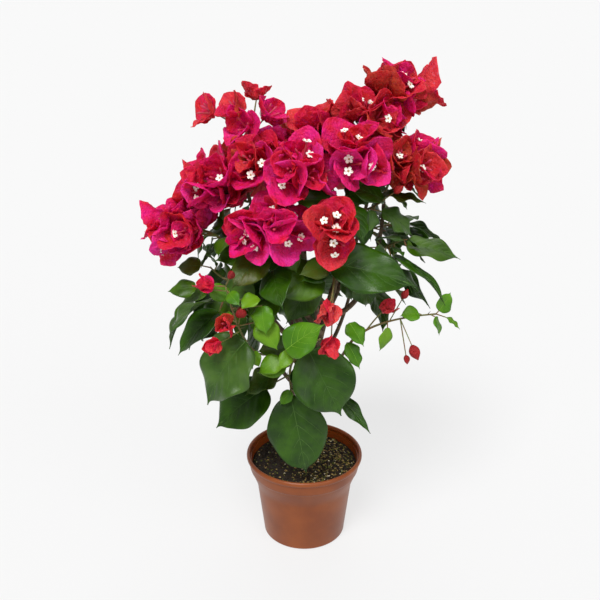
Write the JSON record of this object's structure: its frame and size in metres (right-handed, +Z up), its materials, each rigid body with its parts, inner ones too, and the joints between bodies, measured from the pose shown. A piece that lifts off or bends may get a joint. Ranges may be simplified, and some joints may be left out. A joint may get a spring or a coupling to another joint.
{
  "type": "potted bougainvillea bush",
  "caption": "Small bougainvillea bush in a flared plastic nursery pot: a slim trunk, arching boughs, broad leaves and a crown of papery pink-red bracts.",
  "frame": {"origin": "centre of the pot's flat underside", "axes": "+Z up along the pot's axis; the front of the bush faces -Y; +X to the right as seen from the front"},
  "size_m": [0.2908, 0.2551, 0.4843],
  "materials": {
    "pot": "thin moulded plastic, terracotta brown, soft sheen",
    "potting_mix": "loose crumbly peat mix with bark and moss bits",
    "bark": "thin ridged bark, grey brown, greener on the young wood",
    "leaves": "smooth leaf, half matte, mid to dark green",
    "young_leaves": "smooth young leaf, yellow green",
    "bracts": "papery bract, matte, magenta to orange red"
  },
  "bodies": {
    "root": {"pot": "pot", "potting_mix": "potting_mix", "trunk": "bark", "left_bough": "bark", "upper_left_bough": "bark", "top_left_bough": "bark", "centre_bough": "bark", "low_centre_bough": "bark", "right_centre_bough": "bark", "right_bough": "bark", "top_right_bough": "bark", "red_bough": "bark", "low_left_bough": "bark", "low_front_bough": "bark", "low_right_bough": "bark", "back_left_bough": "bark", "back_bough": "bark", "back_right_bough": "bark", "low_back_bough": "bark", "low_back_right_bough": "bark", "low_back_left_bough": "bark", "top_left_spray": "bracts", "low_left_shoot": "leaves", "young_left_shoot": "young_leaves", "front_shoot": "leaves", "young_front_shoot": "young_leaves", "mid_left_shoot": "leaves", "centre_shoot": "leaves", "right_front_shoot": "leaves", "upper_centre_shoot": "leaves", "right_shoot": "leaves", "upper_right_shoot": "leaves", "upper_left_shoot": "leaves", "low_right_branch": "young_leaves", "back_left_shoot": "leaves", "back_shoot": "leaves", "back_right_shoot": "leaves", "low_back_shoot": "leaves", "low_back_right_shoot": "leaves", "low_back_left_shoot": "leaves", "far_left_truss": "bracts", "left_truss": "bracts", "upper_left_truss": "bracts", "centre_truss": "bracts", "low_centre_truss": "bracts", "red_truss": "bracts", "upper_centre_truss": "bracts", "centre_right_truss": "bracts", "right_truss": "bracts", "crown_right_truss": "bracts", "top_right_truss": "bracts", "back_left_truss": "bracts", "back_truss": "bracts", "back_right_truss": "bracts"}
  },
  "joints": []
}
